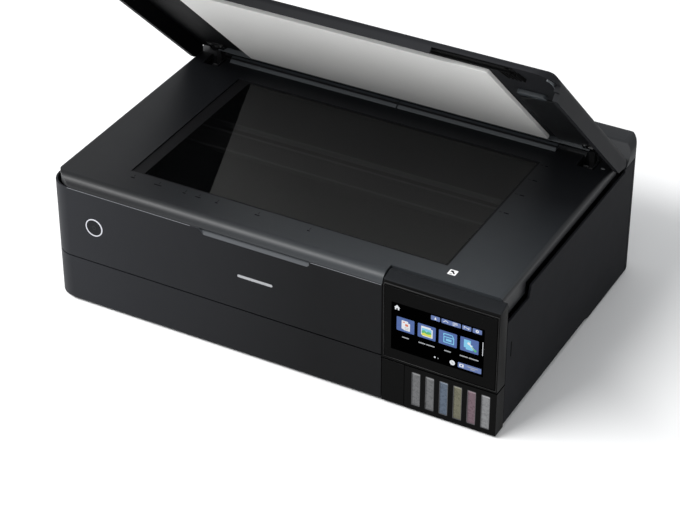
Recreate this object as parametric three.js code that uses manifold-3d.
// Large-format inkjet printer with a flatbed scanner and refillable ink tanks.
// Millimetres. +X is the printer's right-hand side seen from the front, +Y is its back, +Z is up.
// The origin is the middle of the footprint, on the surface that the rubber feet stand on.

import * as THREE from 'three';
import { mergeVertices } from 'three/addons/utils/BufferGeometryUtils.js';
import Module from 'manifold-3d';

const wasm = await Module();
wasm.setup();

// Driving dimensions
const HALF_WIDTH = 261.5;
const FRONT = -178;
const BACK = 178;
const CASE_BOTTOM = 3;
const FLOOR_BOTTOM = 3.3;
const FLOOR_TOP = 6;
const CORNER_FRONT = 25;
const CORNER_BACK = 27;
const WALL = 2.6;

const FLAP_BOTTOM = 4;
const FLAP_TOP = 56.9;
const COVER_BOTTOM = 58.1;
const COVER_TOP = 142.6;
const SIDE_TOP = 141.5;
const RIM_TOP = 155;
const REAR_DECK = 165;
const SHOULDER = 12;

const PANEL_LEFT = 134.6;
const PANEL_BACK = -160.4;
const COVER_RIGHT = 134;

const GLASS_LEFT = -184;
const GLASS_RIGHT = 183;
const GLASS_FRONT = -134;
const GLASS_BACK = 85;

const UNIT_BACK = 120;
const UNIT_SIDE = 255.5;
const LEDGE_FRONT = 113.5;
const LEDGE_TOP = 160;

const LID_AXIS = { y: 117, z: 140.2 };
const LID_OPEN = THREE.MathUtils.degToRad(44.6);
const LID_TOP = 164;
const LID_UNDERSIDE = 160.5;
const HINGE_X = 228;

const FLAP_AXIS = { y: -170, z: 10 };
const PANEL_AXIS = { y: -167.5, z: 148.5 };
const BUTTON = { x: -205, z: 102 };

const BOX_BAY = { x0: 30, x1: 122, z0: 12, z1: 50 };

const TANK_COUNT = 6;
const TANK_PITCH = 15.3;
const TANK_WIDTH = 13.3;
const TANK_FIRST = 173.2;
const TANK_TOP = 74;
const CAP_AXIS = { y: -84, z: TANK_TOP + 7.5 };

const printer = new THREE.Group();

// Finishes
const finish = (color, roughness, metalness = 0) =>
  new THREE.MeshStandardMaterial({ color, roughness, metalness });
const BLACK_CASE = finish(0x2c2e31, 0.55);
const DARK_CASE = finish(0x222326, 0.6);
const GLOSS_BLACK = finish(0x0c0c0d, 0.12);
const INNER_PLASTIC = finish(0x17181a, 0.7);
const MAT_GREY = finish(0xc9c9c6, 0.85);
const STEEL = finish(0xa7abb0, 0.35, 1);
const GLASS = finish(0x1a1d20, 0.05);
const RUBBER = finish(0x151515, 0.9);
const BOARD_GREEN = finish(0x1d4a30, 0.6);
const INKS = [0x6d7074, 0x707070, 0x56647a, 0x6e6c55, 0x735a64, 0x8c8c8c];

// Solids
function solidOf(geometry) {
  const bare = geometry.index ? geometry.toNonIndexed() : geometry.clone();
  bare.deleteAttribute('normal');
  bare.deleteAttribute('uv');
  const merged = mergeVertices(bare, 1e-4);
  return new wasm.Manifold(new wasm.Mesh({
    numProp: 3,
    vertProperties: new Float32Array(merged.attributes.position.array),
    triVerts: new Uint32Array(merged.index.array),
  }));
}

function geometryOf(solid) {
  const mesh = solid.getMesh();
  const geometry = new THREE.BufferGeometry();
  geometry.setAttribute('position', new THREE.BufferAttribute(mesh.vertProperties, 3));
  geometry.setIndex(new THREE.BufferAttribute(mesh.triVerts, 1));
  return geometry;
}

const box = (x0, x1, y0, y1, z0, z1) => solidOf(
  new THREE.BoxGeometry(x1 - x0, y1 - y0, z1 - z0)
    .translate((x0 + x1) / 2, (y0 + y1) / 2, (z0 + z1) / 2));

const outline = (points) => new THREE.Shape(points.map(([a, b]) => new THREE.Vector2(a, b)));
const extrusion = (shape, depth) =>
  new THREE.ExtrudeGeometry(shape, { depth, bevelEnabled: false, curveSegments: 10 });

// A plan outline raised from z0 to z1.
const raised = (shape, z0, z1) => solidOf(extrusion(shape, z1 - z0).translate(0, 0, z0));

// A side-view outline of (y, z) points, run along X from x0 to x1.
function acrossX(points, x0, x1) {
  const shape = points instanceof THREE.Shape ? points : outline(points);
  const turn = new THREE.Matrix4().makeBasis(
    new THREE.Vector3(0, 1, 0), new THREE.Vector3(0, 0, 1), new THREE.Vector3(1, 0, 0));
  return solidOf(extrusion(shape, x1 - x0).applyMatrix4(turn).translate(x0, 0, 0));
}

// A front-view outline of (x, z) points, run along Y from y0 to y1.
function acrossY(points, y0, y1) {
  const shape = points instanceof THREE.Shape ? points : outline(points);
  const turn = new THREE.Matrix4().makeBasis(
    new THREE.Vector3(1, 0, 0), new THREE.Vector3(0, 0, 1), new THREE.Vector3(0, -1, 0));
  return solidOf(extrusion(shape, y1 - y0).applyMatrix4(turn).translate(0, y1, 0));
}

const rodX = (x0, x1, y, z, radius, sides = 16) => solidOf(
  new THREE.CylinderGeometry(radius, radius, x1 - x0, sides)
    .rotateZ(Math.PI / 2).translate((x0 + x1) / 2, y, z));
const rodY = (y0, y1, x, z, radius, sides = 32) => solidOf(
  new THREE.CylinderGeometry(radius, radius, y1 - y0, sides).translate(x, (y0 + y1) / 2, z));
const rodZ = (z0, z1, x, y, radius, sides = 16) => solidOf(
  new THREE.CylinderGeometry(radius, radius, z1 - z0, sides)
    .rotateX(Math.PI / 2).translate(x, y, (z0 + z1) / 2));

const joined = (...solids) => solids.reduce((sum, solid) => sum.add(solid));
const cut = (body, ...tools) => tools.reduce((left, tool) => left.subtract(tool), body);

function piece(name, solid, material, group = printer) {
  const mesh = new THREE.Mesh(geometryOf(solid), material);
  mesh.name = name;
  group.add(mesh);
  return mesh;
}

// Plan rectangle with its own radius at each corner: front left, front right, back right, back left.
function roundedPlan(x0, x1, y0, y1, [fl, fr, br, bl]) {
  const shape = new THREE.Shape();
  shape.moveTo(x0 + fl, y0);
  shape.lineTo(x1 - fr, y0);
  shape.absarc(x1 - fr, y0 + fr, fr, -Math.PI / 2, 0);
  shape.lineTo(x1, y1 - br);
  shape.absarc(x1 - br, y1 - br, br, 0, Math.PI / 2);
  shape.lineTo(x0 + bl, y1);
  shape.absarc(x0 + bl, y1 - bl, bl, Math.PI / 2, Math.PI);
  shape.lineTo(x0, y0 + fl);
  shape.absarc(x0 + fl, y0 + fl, fl, Math.PI, Math.PI * 1.5);
  return shape;
}

// Front-view outline with its two top corners rounded.
function archSection(half, top, fillet) {
  const shape = new THREE.Shape();
  shape.moveTo(-half, 100);
  shape.lineTo(half, 100);
  shape.lineTo(half, top - fillet);
  shape.absarc(half - fillet, top - fillet, fillet, 0, Math.PI / 2);
  shape.lineTo(-half + fillet, top);
  shape.absarc(-half + fillet, top - fillet, fillet, Math.PI / 2, Math.PI);
  return shape;
}

// Wall that runs along the front and turns round the front left corner.
function frontWall(cornerEnd) {
  const cx = -HALF_WIDTH + CORNER_FRONT;
  const cy = FRONT + CORNER_FRONT;
  const stop = Math.PI + Math.asin(Math.max(cy - cornerEnd, 0) / CORNER_FRONT);
  const past = Math.max(cornerEnd, cy);
  const inner = CORNER_FRONT - WALL;
  const shape = new THREE.Shape();
  shape.moveTo(COVER_RIGHT, FRONT);
  shape.lineTo(COVER_RIGHT, FRONT + WALL);
  shape.lineTo(cx, FRONT + WALL);
  shape.absarc(cx, cy, inner, Math.PI * 1.5, stop, true);
  if (past > cy) {
    shape.lineTo(-HALF_WIDTH + WALL, past);
    shape.lineTo(-HALF_WIDTH, past);
  }
  shape.absarc(cx, cy, CORNER_FRONT, stop, Math.PI * 1.5);
  return shape;
}

// ---- Base: floor tray, outer covers and feet ----

function baseTray() {
  const half = HALF_WIDTH - WALL - 1;
  const back = BACK - WALL - 1;
  const front = -155;
  const rim = 3;
  const rimTop = 16;
  const plan = roundedPlan(-half, half, front, back, [2, 2, CORNER_BACK - 3, CORNER_BACK - 3]);
  const inner = roundedPlan(
    -half + rim, half - rim, front - 5, back - rim, [2, 2, CORNER_BACK - 6, CORNER_BACK - 6]);
  const tankBay = box(240, 270, -160, -60, FLOOR_TOP, rimTop + 1);
  const boxBay = box(BOX_BAY.x0 - 1, BOX_BAY.x1 + 1, 160, 180, FLOOR_TOP, rimTop + 1);
  return cut(raised(plan, FLOOR_BOTTOM, rimTop), raised(inner, FLOOR_TOP, rimTop + 1),
    tankBay, boxBay);
}
piece('base_tray', baseTray(), INNER_PLASTIC);

const FOOT_HEIGHT = 2.9;
const FOOT_RADIUS = 9;
[[-225, -120], [225, -120], [-225, 140], [225, 140]].forEach(([x, y], i) => {
  piece(`rubber_foot_${i + 1}`, rodZ(0, FOOT_HEIGHT, x, y, FOOT_RADIUS, 24), RUBBER);
});

piece('left_side_cover', acrossX([
  [-157.6, CASE_BOTTOM], [150.4, CASE_BOTTOM], [150.4, 145.4], [128, 145.4],
  [128, SIDE_TOP], [-149.4, SIDE_TOP], [-149.4, 57.6], [-157.6, 57.6],
], -HALF_WIDTH, -HALF_WIDTH + WALL), BLACK_CASE);

const GRIP_FLOOR = 129;
piece('right_side_cover', acrossX([
  [-159.6, 6], [42, 6], [50, CASE_BOTTOM], [150.4, CASE_BOTTOM], [150.4, 145.4], [128, 145.4],
  [128, SIDE_TOP], [-107, SIDE_TOP], [-111, GRIP_FLOOR], [-159.6, GRIP_FLOOR],
], HALF_WIDTH - WALL, HALF_WIDTH), BLACK_CASE);

const PORT_RECESS = { x: 150, z0: 55, z1: 91, depth: 5.5 };
const INLET = { x: -215, z: 70, width: 32, height: 24 };
function rearCover() {
  const shell = cut(
    raised(roundedPlan(-HALF_WIDTH, HALF_WIDTH, 90, BACK, [0.1, 0.1, CORNER_BACK, CORNER_BACK]),
      CASE_BOTTOM, 145.4),
    raised(roundedPlan(-HALF_WIDTH + WALL, HALF_WIDTH - WALL, 80, BACK - WALL,
      [0.1, 0.1, CORNER_BACK - WALL, CORNER_BACK - WALL]), 0, 150),
    box(-270, 270, 80, 151, 0, 150));
  return cut(shell,
    box(PORT_RECESS.x, 270, BACK - PORT_RECESS.depth, 190, PORT_RECESS.z0, PORT_RECESS.z1),
    box(BOX_BAY.x0, BOX_BAY.x1, 170, 190, BOX_BAY.z0, BOX_BAY.z1),
    box(INLET.x - INLET.width / 2, INLET.x + INLET.width / 2, 170, 190,
      INLET.z - INLET.height / 2, INLET.z + INLET.height / 2));
}
piece('rear_cover', rearCover(), BLACK_CASE);

function portPanel() {
  const y1 = BACK - PORT_RECESS.depth;
  const y0 = y1 - 2.4;
  const plate = box(PORT_RECESS.x + 0.5, 240, y0, y1 - 0.1, PORT_RECESS.z0 - 3, PORT_RECESS.z1 + 3);
  const usb = box(172, 185, y0 - 12, y1, 66, 78);
  const network = box(200, 217, y0 - 14, y1, 65, 79);
  return cut(joined(plate, usb, network), box(174, 183, y1 - 9, y1 + 1, 68, 76),
    box(202, 215, y1 - 11, y1 + 1, 67, 76));
}
piece('port_panel', portPanel(), DARK_CASE);

function powerInlet() {
  const w = INLET.width / 2 - 0.6;
  const h = INLET.height / 2 - 0.6;
  const body = box(INLET.x - w, INLET.x + w, 152, BACK - 0.8, INLET.z - h, INLET.z + h);
  const socket = acrossY([[-11, -6], [11, -6], [11, 6], [-11, 6]].map(([a, b]) =>
    [INLET.x + a, INLET.z + b]), 162, 190);
  const pins = [-4.5, 4.5].map((dx) => rodY(161, 172, INLET.x + dx, INLET.z, 1.6, 12));
  return joined(cut(body, socket), ...pins);
}
piece('power_inlet', powerInlet(), GLOSS_BLACK);

function frontCover() {
  const wall = raised(frontWall(-150), COVER_BOTTOM, COVER_TOP);
  const gripBacking = acrossX([[-175.6, 131], [-168, 138.6], [-168, COVER_TOP], [-175.6, COVER_TOP]],
    -88, 60);
  const gripFront = acrossY([[-70, 135.6], [49, 135.6], [52, 138.6], [52, 150], [-84, 150]], -190, -160);
  const gripSlope = acrossX([[-178.6, 135.2], [-170.8, 143], [-178.6, 143]], -90, 60);
  const bore = rodY(-190, -170, BUTTON.x, BUTTON.z, 10.9, 40);
  const sleeve = cut(rodY(-176, -168, BUTTON.x, BUTTON.z, 12.9, 40),
    rodY(-190, -160, BUTTON.x, BUTTON.z, 10.9, 40));
  return joined(cut(joined(wall, gripBacking), gripSlope.intersect(gripFront), bore), sleeve);
}
piece('front_cover', frontCover(), BLACK_CASE);

// The button's cap slides in the front cover's sleeve.
piece('power_button', rodY(-177.6, -170, BUTTON.x, BUTTON.z, 10.4, 40), DARK_CASE);

// ---- Ink tanks, their housing and caps ----

const tankX = (i) => TANK_FIRST + i * TANK_PITCH;
const WINDOW_WIDTH = 8.8;
function tankHousing() {
  const left = 160.4;
  const top = 54.4;
  const windows = [];
  for (let i = 0; i < TANK_COUNT; i += 1) {
    const x = tankX(i);
    windows.push(box(x - WINDOW_WIDTH / 2, x + WINDOW_WIDTH / 2, -190, -170, 9, 49));
  }
  const bezel = cut(box(left, HALF_WIDTH, FRONT, FRONT + 2.4, CASE_BOTTOM, top), ...windows);
  const side = box(HALF_WIDTH - WALL, HALF_WIDTH, FRONT + 2, PANEL_BACK, CASE_BOTTOM, top);
  const shelf = box(left, 258.3, FRONT + 2, -153.6, top - 2.4, top);
  const backPlate = box(PANEL_LEFT + 2, 251, -156, -153.6, top - 2, 140.5);
  const lugs = [148, 248].map((x) => acrossX([
    [-154, 124], [-154, 130], [-165, 130], [-165, 147], [-166, 150], [-169, 150],
    [-170.5, 148], [-170.5, 124]], x - 2, x + 2));
  const pins = [rodX(141.5, 148, PANEL_AXIS.y, PANEL_AXIS.z, 2),
    rodX(248, 254.5, PANEL_AXIS.y, PANEL_AXIS.z, 2)];
  return joined(bezel, side, shelf, backPlate, ...lugs, ...pins);
}
piece('tank_housing', tankHousing(), GLOSS_BLACK);

piece('tank_filler_panel', joined(
  box(COVER_RIGHT + 0.6, 159.9, FRONT, FRONT + 2.4, CASE_BOTTOM, 54.4),
  box(COVER_RIGHT + 4, 156, FRONT + 2, -160, 20, 23),
), GLOSS_BLACK);

// Each tank is low at the front, where its window is, and tall behind the control panel.
const NOZZLE_Y = -110;
for (let i = 0; i < TANK_COUNT; i += 1) {
  const x = tankX(i);
  const half = TANK_WIDTH / 2;
  const body = acrossX([[-175, 6.6], [-66, 6.6], [-66, TANK_TOP], [-149, TANK_TOP], [-149, 50],
    [-175, 50]], x - half, x + half);
  const nozzle = rodZ(TANK_TOP - 1, TANK_TOP + 7, x, NOZZLE_Y, 3, 12);
  const ears = [x - 5.8, x + 3.8].map((left) => acrossX([
    [-88, TANK_TOP - 1], [-80, TANK_TOP - 1], [-82, TANK_TOP + 9.5], [-86, TANK_TOP + 9.5]],
  left, left + 2));
  const pin = rodX(x - 5, x + 5, CAP_AXIS.y, CAP_AXIS.z, 1, 10);
  piece(`ink_tank_${i + 1}`, joined(body, nozzle, ...ears, pin), finish(INKS[i], 0.15));

  const leverBottom = TANK_TOP + 8.9;
  const leverTop = leverBottom + 2.5;
  const lever = box(x - 5.4, x + 5.4, -126, -87.8, leverBottom, leverTop);
  const knuckle = joined(
    rodX(x - 3.4, x + 3.4, CAP_AXIS.y, CAP_AXIS.z, 2.2, 12),
    box(x - 3.4, x + 3.4, -90, CAP_AXIS.y, CAP_AXIS.z + 0.1, CAP_AXIS.z + 2.2),
    box(x - 3.4, x + 3.4, -90, -87, CAP_AXIS.z + 0.1, leverTop));
  const cup = cut(rodZ(TANK_TOP + 1.5, leverBottom + 0.6, x, NOZZLE_Y, 5.9, 16),
    rodZ(TANK_TOP - 4, leverBottom - 0.5, x, NOZZLE_Y, 4.9, 16));
  const bore = rodX(x - 6, x + 6, CAP_AXIS.y, CAP_AXIS.z, 1.35, 10);
  piece(`ink_cap_${i + 1}`, cut(joined(lever, knuckle, cup), bore),
    finish(INKS[i], 0.5));
}

// ---- Control panel, hinged along its top edge ----

function panelHousing() {
  const right = HALF_WIDTH - 0.3;
  const body = acrossX([
    [FRONT, 56], [FRONT, 148.6], [FRONT + 0.8, 150.4], [FRONT + 2.4, 151.4], [-165, 154.6],
    [-162.4, 154.2], [PANEL_BACK - 1, 152.4], [PANEL_BACK, 150], [PANEL_BACK, 56]],
  PANEL_LEFT, right);
  const hollow = acrossX([[FRONT + 2.8, 58.6], [FRONT + 2.8, 148.4], [-171, 151.2], [-100, 151.2],
    [-100, 58.6]], PANEL_LEFT + WALL, right - WALL);
  const rib = (x0, x1) => cut(
    acrossX([[FRONT + 2, 138], [FRONT + 2, 149.4], [-168, 152.4], [-163, 152.4], [-163, 146],
      [-170, 138]], x0, x1),
    rodX(x0 - 1, x1 + 1, PANEL_AXIS.y, PANEL_AXIS.z, 2.4));
  const recess = box(PANEL_LEFT + 2.2, right - 2.2, FRONT - 1, FRONT + 1.5, 58.8, 144);
  return joined(cut(body, hollow, recess), rib(142, 144.6), rib(251.4, 254));
}
piece('panel_housing', panelHousing(), GLOSS_BLACK);
piece('panel_glass', box(PANEL_LEFT + 2.6, HALF_WIDTH - 2.9, FRONT, FRONT + 1.1, 59.2, 143.6),
  GLOSS_BLACK);

// ---- Print mechanism ----

piece('head_rail', acrossX([
  [2, 84], [30, 84], [30, 86], [4, 86], [4, 112], [14, 112], [14, 114], [2, 114]],
-245, 118), STEEL);

function printHead() {
  const body = box(60, 122, -62, 0, 66, 108);
  const nose = box(70, 112, -50, -12, 63.5, 67);
  const pocket = box(64, 118, -58, -4, 80, 120);
  return joined(cut(body, pocket), nose);
}
piece('print_head', printHead(), INNER_PLASTIC);

const PULLEY_LEFT = -235;
const PULLEY_RIGHT = 140;
const PULLEY_R = 6;
const PULLEY_Y = 12;
function beltLoop() {
  const loop = (r) => {
    const s = new THREE.Shape();
    s.moveTo(PULLEY_LEFT, 100 - r);
    s.lineTo(PULLEY_RIGHT, 100 - r);
    s.absarc(PULLEY_RIGHT, 100, r, -Math.PI / 2, Math.PI / 2);
    s.lineTo(PULLEY_LEFT, 100 + r);
    s.absarc(PULLEY_LEFT, 100, r, Math.PI / 2, Math.PI * 1.5);
    return s;
  };
  return cut(acrossY(loop(PULLEY_R + 1.6), PULLEY_Y - 3, PULLEY_Y + 3),
    acrossY(loop(PULLEY_R + 0.4), PULLEY_Y - 4, PULLEY_Y + 4));
}
piece('timing_belt', beltLoop(), RUBBER);
for (const [name, x] of [['belt_idler', PULLEY_LEFT], ['belt_pulley', PULLEY_RIGHT]]) {
  piece(name, cut(rodY(PULLEY_Y - 3.5, PULLEY_Y + 3.5, x, 100, PULLEY_R, 20),
    rodY(0, 30, x, 100, 1.8, 10)), STEEL);
}
piece('carriage_motor', joined(rodY(22, 58, PULLEY_RIGHT, 100, 17, 24),
  rodY(6, 23, PULLEY_RIGHT, 100, 1.3, 10)), STEEL);

function platen() {
  const ribs = [];
  for (let x = -225; x <= 105; x += 22) ribs.push(box(x, x + 2, -62, -2, 57, 62));
  return joined(box(-235, 118, -64, 0, 52, 57.5), ...ribs);
}
piece('platen', platen(), INNER_PLASTIC);

function feedRoller() {
  const rolls = [-200, -120, -40, 40].map((x) => rodX(x, x + 34, 14, 60, 6.5, 20));
  const gear = new THREE.Shape();
  const teeth = 24;
  for (let i = 0; i < teeth * 2; i += 1) {
    const angle = (i / (teeth * 2)) * Math.PI * 2;
    const r = i % 2 ? 12.5 : 14.2;
    gear[i ? 'lineTo' : 'moveTo'](14 + r * Math.cos(angle), 60 + r * Math.sin(angle));
  }
  return joined(rodX(-246, 118, 14, 60, 3.5, 16), ...rolls, acrossX(gear, -244, -239));
}
piece('feed_roller', feedRoller(), STEEL);

piece('power_supply', box(-245, -195, 60, 150, 8, 50), INNER_PLASTIC);
piece('main_board', box(236, 238, -40, 130, 20, 110), BOARD_GREEN);
piece('maintenance_box', joined(
  box(BOX_BAY.x0 + 4, BOX_BAY.x1 - 4, 166, 174, BOX_BAY.z0 + 4, BOX_BAY.z1 - 4),
  box(BOX_BAY.x0 + 0.6, BOX_BAY.x1 - 0.6, 173, BACK, BOX_BAY.z0 + 0.6, BOX_BAY.z1 - 0.6),
  box(BOX_BAY.x0 + 44, BOX_BAY.x1 - 5, 90, 170, BOX_BAY.z0 + 27, BOX_BAY.z1 - 5),
), INNER_PLASTIC);

// ---- Rear deck: paper slot, its cover, support and edge guides ----

const DECK_ROUND = 13;
const SLOT = { x0: -231, x1: 111, y0: 151, y1: 173.4 };
function rearDeck() {
  const corners = [0.1, 0.1, CORNER_BACK, CORNER_BACK];
  const innerCorners = [0.1, 0.1, CORNER_BACK - WALL, CORNER_BACK - WALL];
  const profile = new THREE.Shape();
  profile.moveTo(130.6, 146);
  profile.lineTo(BACK, 146);
  profile.lineTo(BACK, REAR_DECK - 7);
  profile.absarc(BACK - 7, REAR_DECK - 7, 7, 0, Math.PI / 2);
  profile.lineTo(152, REAR_DECK);
  profile.lineTo(149, REAR_DECK - 1);
  const inner = [[137, 140], [BACK - WALL, 140], [BACK - WALL, REAR_DECK - 7],
    [BACK - 7, REAR_DECK - WALL], [152.5, REAR_DECK - WALL]];
  const outer = raised(roundedPlan(-HALF_WIDTH, HALF_WIDTH, 120, BACK, corners), 146, REAR_DECK)
    .intersect(acrossX(profile, -270, 270))
    .intersect(acrossY(archSection(HALF_WIDTH, REAR_DECK, DECK_ROUND), 100, 200));
  const hollow = raised(roundedPlan(-HALF_WIDTH + WALL, HALF_WIDTH - WALL, 118, BACK - WALL,
    innerCorners), 140, REAR_DECK - WALL).intersect(acrossX(inner, -270, 270))
    .intersect(acrossY(archSection(HALF_WIDTH - WALL, REAR_DECK - WALL, DECK_ROUND - WALL), 100, 200));
  const skirt = box(-252, 252, 134.4, 136.8, 118, 153);
  const pockets = [-HINGE_X, HINGE_X].map((x) => box(x - 13, x + 13, 120, 134, 110, 170));
  return cut(joined(cut(outer, hollow), skirt), box(SLOT.x0, SLOT.x1, SLOT.y0, SLOT.y1, 158, 170),
    ...pockets);
}
piece('rear_deck', rearDeck(), BLACK_CASE);

piece('rear_feed_cover', cut(
  box(SLOT.x0 + 0.7, SLOT.x1 - 0.7, SLOT.y0 + 0.7, SLOT.y1 - 0.9, 162.4, REAR_DECK),
  box(-100, -20, SLOT.y0, SLOT.y0 + 2.6, 164, 170)), BLACK_CASE);
piece('paper_support', joined(box(-190, 70, 153.4, 156, 30, 120),
  box(-90, -30, 153.4, 157.4, 116, 120)), DARK_CASE);
for (const [name, x] of [['feed_guide_left', -226], ['feed_guide_right', 103]]) {
  piece(name, box(x, x + 3, 158.5, 171, 124, 160), DARK_CASE);
}

// ---- Paper cassette, front flap and output tray ----

const TRAY = { x0: -172, x1: 52, y0: -151, y1: 151, z0: 8, z1: 34 };
function paperCassette() {
  const shell = cut(box(TRAY.x0, TRAY.x1, TRAY.y0, TRAY.y1, TRAY.z0, TRAY.z1),
    box(TRAY.x0 + 2, TRAY.x1 - 2, TRAY.y0 + 2, TRAY.y1 - 2, TRAY.z0 + 2, TRAY.z1 + 1));
  const arms = [-162, 42].map((x) => joined(
    box(x - 3, x + 3, FLAP_AXIS.y, TRAY.y0 + 1, TRAY.z0, 12),
    rodX(x - 7, x + 7, FLAP_AXIS.y, FLAP_AXIS.z, 2, 12),
    rodX(x - 3, x + 3, FLAP_AXIS.y, FLAP_AXIS.z, 3.6, 16)));
  return joined(shell, ...arms);
}
piece('paper_cassette', paperCassette(), INNER_PLASTIC);
for (const [name, x] of [['cassette_guide_left', TRAY.x0 + 3], ['cassette_guide_right', TRAY.x1 - 5]]) {
  piece(name, box(x, x + 2, -60, 60, TRAY.z0 + 2.6, TRAY.z1 - 3), DARK_CASE);
}

function frontFlap() {
  const wall = raised(frontWall(-160), FLAP_BOTTOM, FLAP_TOP);
  const lugs = [];
  for (const x of [-162, 42]) {
    for (const side of [-1, 1]) {
      const near = x + side * 5.3;
      lugs.push(joined(
        box(near - 1.5, near + 1.5, FRONT + 2, FLAP_AXIS.y, 6.4, 13.6),
        rodX(near - 1.5, near + 1.5, FLAP_AXIS.y, FLAP_AXIS.z, 3.6, 16)));
    }
  }
  const bores = [-162, 42].map((x) => rodX(x - 9, x + 9, FLAP_AXIS.y, FLAP_AXIS.z, 2.4, 12));
  return cut(joined(wall, ...lugs), ...bores);
}
piece('front_flap', frontFlap(), BLACK_CASE);

const OUTPUT_FRONT = -113;
function outputTray() {
  const plate = box(-170, 50, OUTPUT_FRONT, 40, 38.5, 41);
  const lip = box(-170, 50, OUTPUT_FRONT, OUTPUT_FRONT + 3, 38.5, 44);
  const ribs = [-140, -100, -60, -20, 20].map((x) =>
    box(x - 1, x + 1, OUTPUT_FRONT + 6, 36, 40.5, 42.4));
  return joined(plate, lip, ...ribs);
}
piece('output_tray', outputTray(), DARK_CASE);

// ---- Scanner unit, hinged at the back of the base ----

function unitProfile() {
  const shape = new THREE.Shape();
  shape.moveTo(FRONT, RIM_TOP - SHOULDER + 0.6);
  shape.absarc(FRONT + SHOULDER, RIM_TOP - SHOULDER, SHOULDER, Math.PI - 0.05, Math.PI / 2, true);
  shape.lineTo(UNIT_BACK, RIM_TOP);
  shape.lineTo(UNIT_BACK, RIM_TOP - SHOULDER + 0.6);
  return shape;
}
const hingeSlots = (y0) => [-HINGE_X, HINGE_X].map((x) => box(x - 10, x + 10, y0, 140, 80, 180));
function scannerFrame() {
  const plan = roundedPlan(-UNIT_SIDE, UNIT_SIDE, FRONT, UNIT_BACK, [27, 2, 3, 3]);
  const outer = raised(plan, RIM_TOP - SHOULDER + 0.6, RIM_TOP)
    .intersect(acrossX(unitProfile(), -270, 270))
    .intersect(acrossY(archSection(UNIT_SIDE, RIM_TOP, 5), -200, 200));
  const hollow = joined(
    box(-UNIT_SIDE + 3, 131, FRONT + 8, UNIT_BACK - 3, 130, 152),
    box(130, UNIT_SIDE - 3, -156.2, UNIT_BACK - 3, 130, 152));
  const glassSeat = box(GLASS_LEFT - 7, GLASS_RIGHT + 7, GLASS_FRONT - 7, GLASS_BACK + 7, 150, 154);
  const opening = box(GLASS_LEFT, GLASS_RIGHT, GLASS_FRONT, GLASS_BACK, 140, 160);
  const panelSide = box(COVER_RIGHT, 270, -200, -159, 120, 170);
  const ledge = box(-211, 188, LEDGE_FRONT, UNIT_BACK, 153, LEDGE_TOP);
  const gripSkirt = box(UNIT_SIDE - 3, UNIT_SIDE, -154, -108, 131, 146);
  return cut(joined(cut(outer, hollow, glassSeat, opening, panelSide), ledge, gripSkirt),
    ...hingeSlots(97));
}
piece('scanner_frame', scannerFrame(), BLACK_CASE);
piece('scanner_glass', box(GLASS_LEFT - 6.4, GLASS_RIGHT + 6.4, GLASS_FRONT - 6.4, GLASS_BACK + 6.4,
  150.7, 153.7), GLASS);

function scannerBed() {
  const half = UNIT_SIDE - 4;
  const top = 150.2;
  const outer = joined(box(-half, 130, -160, 115.6, 126.5, top), box(129, half, -152, 115.6, 126.5, top));
  const hollow = joined(
    box(-half + 2.5, 127.5, -157.5, 93, 129, 160),
    box(127, half - 2.5, -149.5, 93, 129, 160),
    box(-214, 214, 92, 113, 129, 160));
  return cut(outer, hollow, ...hingeSlots(95.5));
}
piece('scanner_bed', scannerBed(), INNER_PLASTIC);

const CARRIAGE = { x: -238, width: 34, y0: -146, y1: 90 };
piece('scan_rail', acrossX([
  [-24, 129.4], [12, 129.4], [12, 134], [9, 134], [9, 131.6], [-21, 131.6], [-21, 134], [-24, 134]],
-244, 244), STEEL);
piece('scan_carriage', cut(
  box(CARRIAGE.x, CARRIAGE.x + CARRIAGE.width, CARRIAGE.y0, CARRIAGE.y1, 135, 148.5),
  box(CARRIAGE.x + 13, CARRIAGE.x + 19, CARRIAGE.y0 + 8, CARRIAGE.y1 - 8, 144, 150)), DARK_CASE);

// ---- Lid, its two hinges and the document mat ----

// A hinge post can rise in its slot, so that the lid lies flat on a thick book.
for (const [name, x] of [['hinge_post_left', -HINGE_X], ['hinge_post_right', HINGE_X]]) {
  const post = box(x - 6, x + 6, 104.5, 121.2, 92, LID_AXIS.z - 5);
  const cheek = (x0) => joined(
    box(x0, x0 + 2.6, LID_AXIS.y - 4.2, LID_AXIS.y + 4.2, LID_AXIS.z - 6, LID_AXIS.z),
    rodX(x0, x0 + 2.6, LID_AXIS.y, LID_AXIS.z, 4.2, 20));
  piece(name, joined(post, cheek(x - 6), cheek(x + 3.4),
    rodX(x - 5, x + 5, LID_AXIS.y, LID_AXIS.z, 2.5, 16)), INNER_PLASTIC);
}

// The lid's parts are laid out shut and then turned open together about the hinge pins.
const lid = new THREE.Group();
lid.position.set(0, LID_AXIS.y, LID_AXIS.z);
lid.rotation.x = -LID_OPEN;
printer.add(lid);
const lidPiece = (name, solid, material) =>
  piece(name, solid, material, lid).position.set(0, -LID_AXIS.y, -LID_AXIS.z);

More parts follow.
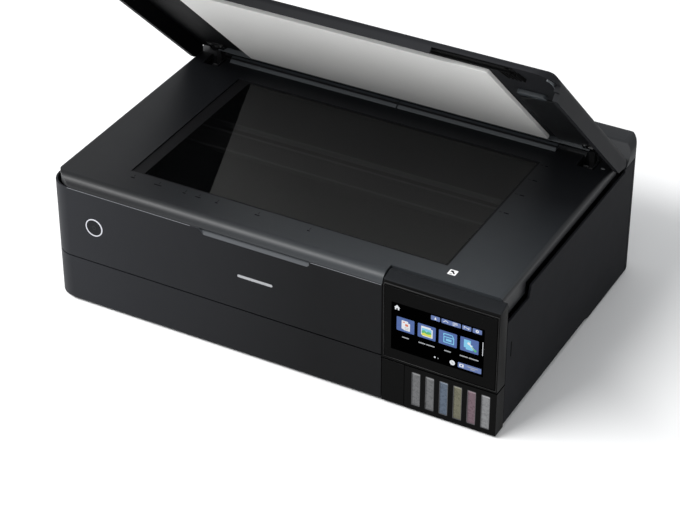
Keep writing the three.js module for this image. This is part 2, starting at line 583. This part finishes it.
function lidShell() {
  const round = 7;
  const rim = 5;
  const bottom = 142.5;
  const chamferTop = 108.5;
  const chamferBottom = 118.5;
  const heel = { length: 15, rise: 11 };
  const plan = roundedPlan(-HALF_WIDTH, HALF_WIDTH, FRONT, chamferBottom, [26, 26, 0.5, 0.5]);
  const side = new THREE.Shape();
  side.moveTo(FRONT, bottom);
  side.lineTo(chamferBottom - heel.length, bottom);
  side.lineTo(chamferBottom, bottom + heel.rise);
  side.lineTo(chamferBottom, LID_TOP - 10);
  side.lineTo(chamferTop, LID_TOP);
  side.lineTo(FRONT + round, LID_TOP);
  side.absarc(FRONT + round, LID_TOP - round, round, Math.PI / 2, Math.PI);
  const section = new THREE.Shape();
  section.moveTo(-HALF_WIDTH, bottom);
  section.lineTo(HALF_WIDTH, bottom);
  section.absarc(HALF_WIDTH - round, LID_TOP - round, round, 0, Math.PI / 2);
  section.absarc(-HALF_WIDTH + round, LID_TOP - round, round, Math.PI / 2, Math.PI);
  const outer = raised(plan, bottom, LID_TOP)
    .intersect(acrossX(side, -270, 270)).intersect(acrossY(section, -200, 200));
  const lip = 1.8;
  const hollow = raised(roundedPlan(-HALF_WIDTH + rim, HALF_WIDTH - rim, FRONT + lip, 140,
    [22, 22, 0.5, 0.5]), 130, LID_UNDERSIDE);
  const hollowTopRounding = acrossX([
    [FRONT - 5, 140], [140, 140], [140, LID_UNDERSIDE], [FRONT + 6, LID_UNDERSIDE],
    [FRONT + lip, LID_UNDERSIDE - 4], [FRONT - 5, LID_UNDERSIDE - 4]], -270, 270);
  const lipBottom = box(-270, 270, -200, -150, 130, 150.6);
  const panelRelief = box(COVER_RIGHT - 0.4, 270, -200, -155, 130, 157.2);
  return cut(outer, hollow.intersect(hollowTopRounding), lipBottom, panelRelief);
}
lidPiece('lid_shell', lidShell(), BLACK_CASE);
lidPiece('document_mat', raised(roundedPlan(-183, 180, -137, 93, [3, 3, 3, 3]), 155.5, 160.1), MAT_GREY);
for (const [name, x] of [['hinge_arm_left', -HINGE_X], ['hinge_arm_right', HINGE_X]]) {
  const arm = joined(
    acrossX([[113.6, 142], [117, 144.2], [110, 160], [90, 160], [90, 157], [99, 156], [106, 150]],
      x - 3, x + 3),
    rodX(x - 3, x + 3, LID_AXIS.y, LID_AXIS.z, 4.2, 20));
  lidPiece(name, cut(arm, rodX(x - 4, x + 4, LID_AXIS.y, LID_AXIS.z, 2.9, 16)), STEEL);
}

export default printer;
